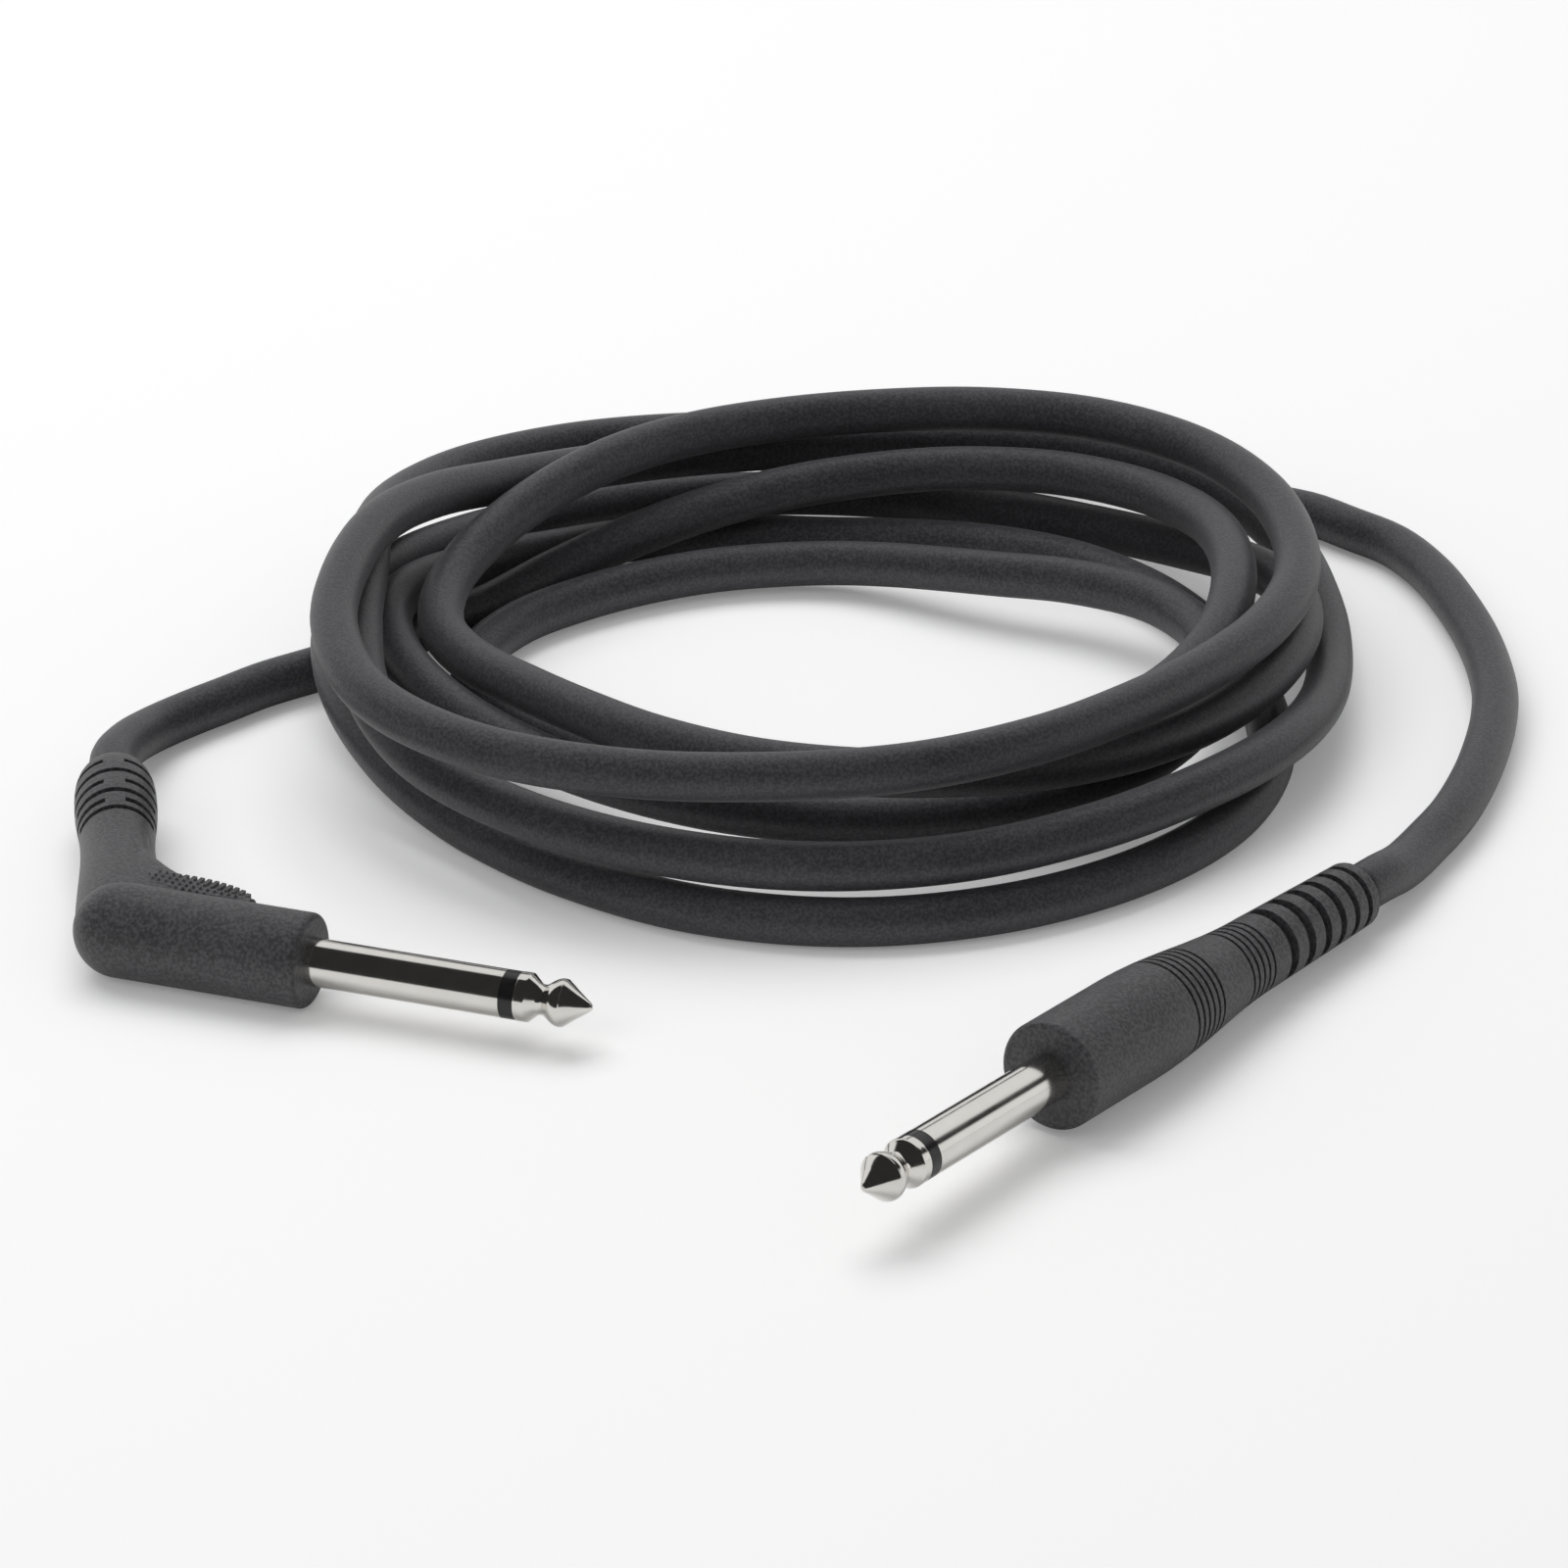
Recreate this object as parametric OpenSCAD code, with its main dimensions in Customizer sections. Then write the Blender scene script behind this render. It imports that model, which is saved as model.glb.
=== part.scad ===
// Instrument cable: two moulded 6.35 mm mono jack plugs, one straight and one angled,
// joined by one round cable that lies in a loose coil on a table.
// Millimetres. Z = 0 is the table and the origin is midway between the outer edges of the plugs.
// Each plug is drawn with its front face at X = 0 and its tip along +X, then laid on the table.

/* [Jack contact] */
// Diameter of the jack's sleeve and tip
jack_d = 6.35; // [6.3:0.01:6.4]
// Length of sleeve that stands out of the moulding
sleeve_len = 27; // [22:0.5:30]
// Length of the insulating ring between sleeve and tip
ring_len = 2; // [1.5:0.1:2.5]
// Length of the tip from the ring to its point
tip_len = 9.8; // [8.6:0.1:11]
// Length of the level collar at the root of the tip
collar_len = 1.4; // [1:0.1:2]
// Distance from the root of the tip to the middle of its groove
groove_at = 3.1; // [2.8:0.1:3.8]
// Diameter of the groove that a socket's spring drops into
groove_d = 3.9; // [3.4:0.1:4.4]
// Distance from the root of the tip to its shoulder
shoulder_at = 5.8; // [5:0.1:6.6]
// Diameter of the tip's shoulder
shoulder_d = 6.2; // [5.8:0.05:6.3]
// Diameter of the blunt end of the tip
point_d = 1.2; // [0.8:0.1:2]
// Diameter of the rod that carries the tip through the sleeve
rod_d = 2.2; // [1.8:0.1:2.6]
// Wall of the insulating tube round the rod
tube_wall = 1; // [0.6:0.1:1.1]

/* [Jack seat] */
// Length of sleeve held inside the moulding
seat_len = 6; // [4:0.5:7]
// Diameter of the sleeve where the moulding grips it
seat_d = 5.9; // [5.7:0.1:5.9]
// Diameter of the flange at the sleeve's rear end
flange_d = 9; // [8.6:0.1:9.4]
// Thickness of the sleeve's flange
flange_t = 1.5; // [1:0.1:2]
// Thickness of the ground lug and the tip lug
lug_t = 0.6; // [0.4:0.05:0.7]
// Width of the arm of each lug
lug_w = 2.6; // [2:0.1:3]
// Diameter of the tip lug's ring
tip_lug_d = 5.6; // [5.2:0.1:6]
// Length of the tip lug's arm along the core
tip_arm = 5; // [4:0.5:6]
// Thickness of the rear insulating washer
washer_t = 1.5; // [1:0.1:2]
// Diameter of the rear insulating washer
washer_d = 7.2; // [6.6:0.1:7.5]
// Diameter of the riveted end of the rod
rivet_d = 3.4; // [3:0.1:3.8]
// Length of the riveted end of the rod
rivet_t = 0.6; // [0.4:0.1:1]

/* [Cable] */
// Outside diameter of the cable's jacket
cable_d = 6.6; // [6.2:0.1:6.7]
// Outside diameter of the braided screen
screen_d = 3.6; // [3.2:0.1:4]
// Outside diameter of the core's insulation
core_d = 2.4; // [2:0.1:2.8]
// Diameter of the stranded copper core
wire_d = 1; // [0.8:0.1:1.4]
// Length of screen left bare in the straight plug
screen_bare = 4; // [3:0.5:5]
// Length of insulation left bare in front of the screen
core_bare = 3; // [2:0.5:4]
// Diameter of the twist of screen strands on the ground lug
pigtail_d = 1.2; // [0.8:0.1:1.6]

/* [Inner mould] */
// Diameter of the inner mould round the jack's rear end
mould_d = 10.2; // [10:0.1:10.6]
// Diameter of the inner mould in the angled plug's neck
neck_mould_d = 9.2; // [8.6:0.1:9.6]
// Length of jacket that the inner mould grips
mould_grip = 4; // [3:0.5:5]
// Distance from the elbow to the jacket's end in the angled plug
neck_jacket = 5; // [4.5:0.5:6]
// Distance that the angled plug's inner mould runs past the elbow
mould_past = 2.5; // [1.5:0.1:2.6]

/* [Straight plug] */
// Diameter of the grip at its front face
grip_d = 14.4; // [14:0.1:15.5]
// Length of the grip, from its front face to the strain relief
grip_len = 47; // [46:0.5:54]
// Distance from the front face to where the grip starts to narrow
grip_flat = 17; // [12:0.5:19]
// Rounding of the grip's front edge
edge_r = 0.8; // [0.4:0.1:1.2]
// Length of the strain relief
relief_len = 23.5; // [22.5:0.5:27]
// Diameter of the strain relief next to the grip
relief_d = 10.2; // [9.8:0.1:10.8]
// Diameter of the strain relief where the cable leaves
relief_end_d = 9.2; // [8.8:0.1:9.6]
// Chamfer at the end of the strain relief
relief_edge = 0.6; // [0.3:0.1:0.8]

/* [Relief slots] */
// Number of slots along the straight plug's relief
slots = 6; // [4:1:6]
// Distance from the relief's start to the first slot
slot_first = 0.8; // [0.5:0.1:1.2]
// Width of the first slot
slot_w = 1.9; // [1.4:0.1:2.2]
// Loss of width from each slot to the next
slot_narrow = 0.16; // [0.1:0.02:0.2]
// Pitch from the first slot to the second
slot_pitch = 4.4; // [4:0.1:4.5]
// Loss of pitch from each slot to the next
slot_shrink = 0.27; // [0.2:0.01:0.3]
// Diameter left at the bottom of the slots in both plugs
slot_core_d = 7.5; // [7.3:0.1:7.8]
// Angle of each spine that bridges the slots in both plugs
spine_angle = 30; // [24:2:50]
// Roll of the straight plug's spines from upright
spine_roll = 40; // [0:5:90]

/* [Grip rings] */
// Grooves in the front band
front_rings = 6; // [4:1:7]
// Grooves in the rear band
rear_rings = 5; // [3:1:5]
// Distance from the front face to the front band
front_band = 23.5; // [20:0.5:26]
// Distance from the front face to the rear band
rear_band = 38.5; // [37:0.5:39.5]
// Pitch of the grooves
ring_pitch = 1.35; // [1.1:0.05:1.5]
// Width of each groove
ring_w = 0.5; // [0.4:0.05:0.7]
// Depth of each groove
ring_depth = 0.4; // [0.2:0.05:0.5]

/* [Angled plug] */
// Diameter of the barrel round the jack
barrel_d = 12.6; // [12.4:0.1:14]
// Distance from the barrel's front face to the middle of the elbow
barrel_len = 27; // [26.5:0.5:32]
// Angle between the jack and the cable neck
neck_angle = 116; // [104:1:124]
// Distance from the middle of the elbow to the strain relief
neck_len = 23.5; // [22:0.5:28]
// Diameter of the neck where the strain relief starts
neck_d = 10; // [9.7:0.1:10.6]
// Step between the elbow's surface and the root of the neck
root_step = 0.3; // [0.2:0.1:0.5]
// Radius of the web between neck and barrel
web_r = 26; // [22:1:28]
// Thickness of the web
web_t = 9.6; // [8:0.1:10]
// Rounding of the web's edge
web_round = 2.2; // [1.5:0.1:3]
// Depth that the web's edge sinks into barrel and neck
web_sink = 0.8; // [0.6:0.1:1]

/* [Angled relief] */
// Length of the angled plug's strain relief
bend_relief_len = 22; // [21:0.5:26]
// Largest diameter of the angled plug's strain relief
bend_relief_d = 11.2; // [10.8:0.1:11.8]
// Distance from the relief's start to its largest diameter
bulge_at = 12; // [9:0.5:13]
// Length of the stretch at the largest diameter
bulge_len = 3; // [1.5:0.5:4]
// Diameter of the angled plug's strain relief where the cable leaves
bend_end_d = 7.9; // [7.7:0.1:8.6]
// Slots along the angled plug's strain relief
bend_slots = 6; // [3:1:6]
// Distance from the relief's start to its first slot
bend_first = 2.7; // [2:0.1:3.2]
// Width of the angled plug's slots
bend_slot_w = 1.1; // [0.8:0.1:1.3]
// Pitch from the angled plug's first slot to its second
bend_pitch = 2.2; // [2:0.1:2.5]
// Gain of pitch from each slot to the next
bend_grow = 0.3; // [0.1:0.05:0.4]

/* [Grip pads] */
// Distance of each pad's middle from the elbow, along the barrel
pad_x = 8.8; // [8:0.1:10]
// Distance of each pad's middle from the barrel's axis
pad_y = 5.2; // [4.8:0.1:6]
// Turn of each pad from the barrel's direction
pad_turn = -6; // [-15:1:0]
// Ribs in each pad
pad_ribs = 14; // [8:1:16]
// Length of a pad
pad_len = 15.5; // [12:0.5:16]
// Width of a pad at its middle
pad_w = 4.6; // [3:0.1:5]
// Width of each rib
pad_rib_w = 0.6; // [0.4:0.1:0.7]
// Height of the ribs above the web
pad_rise = 0.7; // [0.3:0.1:0.8]

/* [Layout] */
// Width of the table that the two plugs span
pair_w = 175; // [160:1:190]
// Depth of the table that the two plugs span
pair_d = 120.5; // [110:0.5:130]
// Heading of the straight plug's tip, anticlockwise from +X
straight_heading = 233; // [225:0.5:240]
// Heading of the angled plug's tip, anticlockwise from +X
angled_heading = -19.5; // [-25:0.5:-12]

/* [Hidden] */
$fn = 48;

// Radial clearance between pieces that fit into each other
fit = 0.05;
// Gap between the rivet and the crank of the tip lug
crank_gap = 0.3;
// Gap between the ends of pieces laid one behind the other
lap_gap = 0.3;
// How far each layer runs past the elbow's corner, in its own diameters
corner = 0.4;
// How far a cutting shape runs past what it cuts
over = 1;
// Bevel of the tip's shoulder, and half the flat at the bottom of its groove
bevel = 0.3;
// Steps in a smooth change of radius, and in a rounded edge
taper_steps = 16;
edge_steps = 6;

// Stations along the jack's axis, from the insulating ring back to the riveted end
ring_x = sleeve_len;
tip_x = ring_x + ring_len;
sleeve_rear = -seat_len - flange_t;
ground_rear = sleeve_rear - lug_t;
washer_rear = ground_rear - washer_t;
lug_rear = washer_rear - lug_t;
rivet_rear = lug_rear - rivet_t;
crank_x = rivet_rear - crank_gap;
arm_rear = crank_x - lug_t - tip_arm;

// Depths behind the front face where the layers of the cable start
wire_depth = lug_t + lap_gap - crank_x;
core_depth = lap_gap - arm_rear;
screen_depth = core_depth + core_bare;
ground_arm_rear = -(screen_depth + 2 * pigtail_d);

// Sizes shared by pieces that fit round or beside each other
tube_d = rod_d + 2 * fit + 2 * tube_wall;
rod_bore = rod_d + 2 * fit;
tube_bore = tube_d + 2 * fit;
arm_top = -(washer_d / 2 + fit);
strip_z = rivet_d / 2 + fit;
wire_top = wire_d / 2 + fit;

// Depth of the cable's exit, of the jacket's end and of the inner mould's end
function cable_depth(turn) = turn ? barrel_len + neck_len + bend_relief_len
    : grip_len + relief_len;
function jacket_depth(turn) = turn ? barrel_len + neck_jacket : screen_depth + screen_bare;
function mould_depth(turn) = jacket_depth(turn) + mould_grip;

// Smooth step from a to b while t runs from 0 to 1
function ease(a, b, t) = b + (a - b) * (1 + cos(180 * t)) / 2;

// ---- Shapes along the plug's axis ----

// Round bar along X between two stations
module along(x0, x1, d) {
    translate([x0, 0, 0]) rotate([0, 90, 0]) cylinder(h = x1 - x0, d = d);
}

// Round tube along X between two stations
module tube_along(x0, x1, d, bore) {
    difference() {
        along(x0, x1, d);
        along(x0 - over, x1 + over, bore);
    }
}

// Solid turned about X from a list of [radius, station]
module turned(profile) {
    rotate([0, 90, 0]) rotate_extrude() polygon(profile);
}

// Flat bar along X, grown on every side by g
module flat_bar(x0, x1, w, z0, z1, g) {
    translate([x0 - g, -w / 2 - g, z0 - g]) cube([x1 - x0 + 2 * g, w + 2 * g, z1 - z0 + 2 * g]);
}

// Frame at the middle of the elbow, and the same frame turned along the neck
module elbow() {
    translate([-barrel_len, 0, 0]) children();
}
module neck() {
    elbow() rotate([0, 0, neck_angle]) children();
}

// Bar on the cable's axis from depth a to depth b, round the elbow in the angled plug
module axis_bar(a, b, d, turn) {
    bent = turn && a < barrel_len;
    if (!turn) along(-b, -a, d);
    if (bent) along(-barrel_len - corner * d, -a, d);
    if (turn) neck() along(bent ? -corner * d : a - barrel_len, b - barrel_len, d);
}

// Tube on the cable's axis
module axis_tube(a, b, d, bore, turn) {
    difference() {
        axis_bar(a, b, d, turn);
        axis_bar(a - over, b + over, bore, turn);
    }
}

// ---- Pieces of the jack ----

// Tip with its collar, groove, shoulder and point, and the rod that is riveted at the rear
module jack_tip() {
    color("silver") turned([
        [0, rivet_rear],
        [rivet_d / 2, rivet_rear],
        [rivet_d / 2, lug_rear],
        [rod_d / 2, lug_rear],
        [rod_d / 2, tip_x],
        [jack_d / 2, tip_x],
        [jack_d / 2, tip_x + collar_len],
        [groove_d / 2, tip_x + groove_at - bevel],
        [groove_d / 2, tip_x + groove_at + bevel],
        [shoulder_d / 2 - bevel, tip_x + shoulder_at - 2 * bevel],
        [shoulder_d / 2, tip_x + shoulder_at - bevel],
        [shoulder_d / 2, tip_x + shoulder_at + bevel],
        [shoulder_d / 2 - bevel, tip_x + shoulder_at + 2 * bevel],
        [point_d / 2, tip_x + tip_len - point_d / 4],
        [point_d / 4, tip_x + tip_len],
        [0, tip_x + tip_len]]);
}

module insulator_ring() {
    color("black") tube_along(ring_x, tip_x, jack_d, rod_bore);
}

module insulating_tube() {
    color("ivory") tube_along(ground_rear, ring_x, tube_d, rod_bore);
}

module sleeve() {
    color("silver") difference() {
        union() {
            along(0, ring_x, jack_d);
            along(sleeve_rear, 0, seat_d);
            along(sleeve_rear, -seat_len, flange_d);
        }
        along(sleeve_rear - over, ring_x + over, tube_bore);
    }
}

// Ground lug: a ring behind the flange, with an arm under the screen
module ground_lug_shape(g) {
    along(ground_rear - g, sleeve_rear + g, flange_d + 2 * g);
    flat_bar(ground_arm_rear, sleeve_rear, lug_w, arm_top - lug_t, arm_top, g);
}

module ground_lug() {
    color("goldenrod") difference() {
        ground_lug_shape(0);
        along(ground_rear - over, sleeve_rear + over, tube_bore);
    }
}

module rear_washer() {
    color("ivory") tube_along(washer_rear, ground_rear, washer_d, rod_bore);
}

// Tip lug: a ring under the rivet, with an arm that steps down on to the core
module tip_lug_shape(g) {
    along(lug_rear - g, washer_rear + g, tip_lug_d + 2 * g);
    flat_bar(crank_x, washer_rear, lug_w, strip_z, strip_z + lug_t, g);
    flat_bar(crank_x - lug_t, crank_x, lug_w, wire_top, strip_z + lug_t, g);
    flat_bar(arm_rear, crank_x, lug_w, wire_top, wire_top + lug_t, g);
}

module tip_lug() {
    color("goldenrod") difference() {
        tip_lug_shape(0);
        along(lug_rear - over, washer_rear + over, rod_bore);
    }
}

// ---- Layers of the cable inside a plug ----

module core_wire(turn) {
    color("peru") axis_bar(wire_depth, cable_depth(turn), wire_d, turn);
}

module core_insulation(turn) {
    color("white") axis_tube(core_depth, cable_depth(turn), core_d, wire_d + 2 * fit, turn);
}

// Twist of screen strands that stands on the ground lug's arm
module pigtail(g) {
    foot = arm_top + fit - g;
    head = -(core_d / 2 + fit + screen_d / 2) / 2;
    translate([-(screen_depth + pigtail_d), 0, foot]) cylinder(h = head - foot, d = pigtail_d + 2 * g);
}

module screen_tail(turn) {
    color("peru") {
        axis_tube(screen_depth, cable_depth(turn), screen_d, core_d + 2 * fit, turn);
        pigtail(0);
    }
}

module jacket_end(turn) {
    color("dimgray")
        axis_tube(jacket_depth(turn), cable_depth(turn), cable_d, screen_d + 2 * fit, turn);
}

// ---- Mouldings ----

// Inner mould round the joints behind the jack, grown by g
module mould_shape(turn, g) {
    rear = turn ? barrel_len + mould_past : mould_depth(false);
    along(-rear - g, -seat_len + g, mould_d + 2 * g);
    if (turn) neck() along(0, mould_depth(true) - barrel_len + g, neck_mould_d + 2 * g);
}

// All that the inner mould was cast round, grown by the clearance
module held_parts(turn) {
    beyond = mould_depth(turn) + over;
    along(sleeve_rear - fit, over - seat_len, seat_d + 2 * fit);
    along(sleeve_rear - fit, over - seat_len, flange_d + 2 * fit);
    along(washer_rear - fit, ground_rear, washer_d + 2 * fit);
    along(rivet_rear - fit, lug_rear, rivet_d + 2 * fit);
    ground_lug_shape(fit);
    tip_lug_shape(fit);
    pigtail(fit);
    axis_bar(wire_depth - fit, core_depth, wire_d + 2 * fit, false);
    axis_bar(core_depth - fit, screen_depth, core_d + 2 * fit, false);
    axis_bar(screen_depth - fit, beyond, screen_d + 2 * fit, turn);
    axis_bar(jacket_depth(turn) - fit, beyond, cable_d + 2 * fit, turn);
}

module inner_mould(turn) {
    color("ivory") difference() {
        mould_shape(turn, 0);
        held_parts(turn);
    }
}

// Rounded front edge of a moulding of diameter d
function front_edge(d) = [for (k = [0 : edge_steps]) let (a = 90 * k / edge_steps)
    [d / 2 - edge_r * (1 - sin(a)), -edge_r * (1 - cos(a))]];

// Radius of the straight plug's grip at a depth
function grip_r(x) = x < grip_flat ? grip_d / 2
    : ease(grip_d / 2, relief_d / 2, (x - grip_flat) / (grip_len - grip_flat));

// Stations of the grip's taper between two depths
function grip_between(a, b) = [for (k = [0 : taper_steps])
    let (x = grip_flat + k * (grip_len - grip_flat) / taper_steps)
    if (x > a && x < b) [grip_r(x), -x]];

// A band of grooves that starts at a depth
function groove_band(first, count) = [for (k = [0 : count - 1])
    let (x = first + k * ring_pitch, w = ring_w / 2, r = grip_r(x) - ring_depth)
    each [[grip_r(x - w), w - x], [r, w - x], [r, -w - x], [grip_r(x + w), -w - x]]];

front_end = front_band + (front_rings - 1) * ring_pitch + ring_w;
rear_end = rear_band + (rear_rings - 1) * ring_pitch + ring_w;
straight_end = grip_len + relief_len;
straight_profile = concat(
    [[0, 0]],
    front_edge(grip_d),
    grip_between(edge_r, front_band - ring_w),
    groove_band(front_band, front_rings),
    grip_between(front_end, rear_band - ring_w),
    groove_band(rear_band, rear_rings),
    grip_between(rear_end, grip_len + over),
    [[relief_end_d / 2, relief_edge - straight_end],
        [relief_end_d / 2 - relief_edge, -straight_end],
        [0, -straight_end]]);

// Two slots of width w behind station x, left and right of a pair of spines
module slot_pair(x, w, roll) {
    for (side = [0, 1])
        rotate([0, 90, 0]) rotate([0, 0, 180 * side + roll + spine_angle / 2])
            rotate_extrude(angle = 180 - spine_angle)
                translate([slot_core_d / 2, x]) square([bend_relief_d, w]);
}

module straight_relief_slots() {
    for (k = [0 : slots - 1]) {
        w = slot_w - k * slot_narrow;
        x = grip_len + slot_first + k * slot_pitch - slot_shrink * k * (k - 1) / 2;
        slot_pair(-x - w, w, spine_roll);
    }
}

module straight_body() {
    color("dimgray") difference() {
        turned(straight_profile);
        mould_shape(false, fit);
        along(-seat_len - over, over, seat_d + 2 * fit);
        axis_bar(mould_depth(false) - over, straight_end + over, cable_d + 2 * fit, false);
        straight_relief_slots();
    }
}

// Barrel of the angled plug, closed by the elbow's ball
barrel_profile = concat(
    [[0, 0]],
    front_edge(barrel_d),
    [for (k = [0 : taper_steps]) let (a = 90 * k / taper_steps)
        [barrel_d / 2 * cos(a), -barrel_len - barrel_d / 2 * sin(a)]]);

// Neck and strain relief of the angled plug, from the elbow outwards
bulge_x = neck_len + bulge_at;
dome_x = bulge_x + bulge_len;
neck_end = neck_len + bend_relief_len;
neck_profile = concat(
    [[0, 0]],
    [for (k = [0 : taper_steps]) let (t = k / taper_steps)
        [ease(barrel_d / 2 - root_step, neck_d / 2, t), neck_len * t]],
    [for (k = [1 : edge_steps]) let (t = k / edge_steps)
        [ease(neck_d / 2, bend_relief_d / 2, t), neck_len + bulge_at * t]],
    [for (k = [0 : edge_steps]) let (a = 90 * k / edge_steps)
        [(bend_end_d + (bend_relief_d - bend_end_d) * cos(a)) / 2,
            dome_x + (neck_end - dome_x) * sin(a)]],
    [[0, neck_end]]);

// Web in the inside corner: a flat plate with a rounded concave edge
web_turn = 180 - neck_angle;
web_y = web_r + barrel_d / 2 - web_sink;
web_x = (web_r + neck_d / 2 - web_sink + web_y * cos(neck_angle)) / sin(neck_angle);
web_reach = web_x * cos(neck_angle) + web_y * sin(neck_angle);

module web() {
    inner = web_r + web_round;
    lap = inner + web_round / 2;
    flat = web_t / 2 - web_round;
    linear_extrude(height = web_t, center = true) polygon(concat(
        [[0, 0], [web_x, 0]],
        [for (k = [0 : taper_steps]) let (a = -90 - web_turn * k / taper_steps)
            [web_x + lap * cos(a), web_y + lap * sin(a)]],
        [[web_reach * cos(neck_angle), web_reach * sin(neck_angle)]]));
    translate([web_x, web_y, 0]) rotate([0, 0, -90 - web_turn])
        rotate_extrude(angle = web_turn) polygon(concat(
            [for (k = [0 : edge_steps]) let (a = 90 * k / edge_steps)
                [inner - web_round * sin(a), -flat - web_round * cos(a)]],
            [for (k = [edge_steps : -1 : 0]) let (a = 90 * k / edge_steps)
                [inner - web_round * sin(a), flat + web_round * cos(a)]],
            [[inner + web_round, web_t / 2], [inner + web_round, -web_t / 2]]));
}

// Lens of short ribs on the upper and the lower side of the web
module grip_pads() {
    rise = web_t / 2 + pad_rise;
    for (k = [0 : pad_ribs - 1]) {
        t = (2 * k + 1) / pad_ribs - 1;
        w = pad_w * sqrt(1 - t * t);
        translate([pad_x, pad_y, 0]) rotate([0, 0, pad_turn])
            translate([t * pad_len / 2 - pad_rib_w / 2, -w / 2, -rise])
                cube([pad_rib_w, w, 2 * rise]);
    }
}

module angled_relief_slots() {
    for (k = [0 : bend_slots - 1]) {
        x = neck_len + bend_first + k * bend_pitch + bend_grow * k * (k - 1) / 2;
        neck() slot_pair(x, bend_slot_w, k % 2 == 0 ? 90 : 0);
    }
}

module angled_body() {
    color("dimgray") difference() {
        union() {
            turned(barrel_profile);
            neck() turned(neck_profile);
            elbow() web();
            elbow() grip_pads();
        }
        mould_shape(true, fit);
        along(-seat_len - over, over, seat_d + 2 * fit);
        axis_bar(mould_depth(true) - over, cable_depth(true) + over, cable_d + 2 * fit, true);
        angled_relief_slots();
    }
}

// ---- Where the plugs lie ----

// Furthest reach of a turned profile in a direction that makes cosine c with its axis
function reach(profile, c) = max([for (p = profile) p[1] * c + p[0] * sqrt(1 - c * c)]);

jack_profile = [[point_d / 4, tip_x + tip_len], [jack_d / 2, tip_x + collar_len]];
straight_outline = concat(straight_profile, jack_profile);
straight_tilt = atan((grip_d - relief_end_d) / 2 / (straight_end - relief_edge - edge_r));
straight_axis = [cos(straight_heading) * cos(straight_tilt),
    sin(straight_heading) * cos(straight_tilt), sin(straight_tilt)];
straight_face = [pair_w / 2 - reach(straight_outline, straight_axis[0]),
    reach(straight_outline, -straight_axis[1]) - pair_d / 2,
    reach(straight_outline, -straight_axis[2])];
straight_exit = straight_face - straight_end * straight_axis;

angled_axis = [cos(angled_heading), sin(angled_heading), 0];
neck_axis = [cos(angled_heading + neck_angle), sin(angled_heading + neck_angle), 0];
ball_reach = reach(barrel_profile, -angled_axis[0]) + barrel_len * -angled_axis[0];
angled_elbow = [max(barrel_d / 2, reach(neck_profile, -neck_axis[0])) - pair_w / 2,
    pair_d / 2 - reach(neck_profile, neck_axis[1]), barrel_d / 2];
angled_face = angled_elbow + barrel_len * angled_axis;
angled_exit = angled_elbow + neck_end * neck_axis;

module lay_straight() {
    translate(straight_face) rotate([0, -straight_tilt, straight_heading]) children();
}
module lay_angled() {
    translate(angled_face) rotate([0, 0, angled_heading]) children();
}

// ---- The cable between the plugs ----

// Middle of the coil on the table
coil_centre = [15, 104];
// Distance of the cable from the middle, at 180, 135, 90, 45, 0, -45, -90 and -135 degrees
coil_reach = [
    [60, 48, 48, 60.5, 58, 55, 39, 43],
    [50.5, 39.7, 34.5, 33.6, 53, 59.5, 54, 57],
    [62.3, 57.6, 46.5, 53, 59.2, 75.2, 81.2, 71.6],
    [70, 66, 61, 63, 67.5, 64, 60, 51.8],
    [55, 50, 57, 69, 67, 65, 74, 81],
    [64.5, 57, 61.5, 77, 71.9, 75, 78.3, 76],
    [65.6, 77, 76.5, 88]];
// Height of the cable's axis at the same places, at least half a cable above the table
coil_height = [
    [0, 6.5, 12, 14, 17.4, 13.2, 3.3, 3.3],
    [3.3, 3.8, 4.5, 7.6, 9.4, 7.4, 5.2, 8.6],
    [11.1, 3.6, 3.3, 3.3, 3.3, 3.3, 3.3, 3.3],
    [9.5, 5.7, 4.5, 5, 12.7, 13, 15.4, 14.6],
    [12.8, 19, 19, 19.6, 20.1, 20.9, 21.4, 22],
    [24.5, 16.5, 12, 10.2, 6.7, 10.9, 10, 12.8],
    [17.4, 11.4, 8, 3.3]];
places = 8;
reaches = [for (turn = coil_reach) each turn];
heights = [for (turn = coil_height) each turn];
// The coil starts halfway between two places and ends on the last
coil_first = 0.5;
coil_last = len(reaches) - 1;
rings_per_turn = 24;
coil_sides = 6;
lead_sides = 10;

// Smooth curve through a list of values, at a place that need not be whole
function value_at(list, i) = list[max(0, min(i, len(list) - 1))];
function curve(a, b, c, d, t) = b + t * (c - a + t * (2 * a - 5 * b + 4 * c - d
    + t * (3 * b - 3 * c + d - a))) / 2;
function smooth(list, s) = let (i = floor(s))
    curve(value_at(list, i - 1), value_at(list, i), value_at(list, i + 1),
        value_at(list, i + 2), s - i);

// Point of the coil at a place, counted clockwise from 180 degrees
function coil_point(s) = let (a = 180 - 360 * s / places, r = smooth(reaches, s))
    [coil_centre[0] + r * cos(a), coil_centre[1] + r * sin(a),
        max(cable_d / 2, smooth(heights, s))];

function unit(v) = v / norm(v);
function level(v) = unit([v[0], v[1], 0]);

// Points of the coil at an even step, with n steps to a turn
function coil_points(n) = let (m = round((coil_last - coil_first) * n / places))
    [for (k = [0 : m]) coil_point(coil_first + (coil_last - coil_first) * k / m)];

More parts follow.
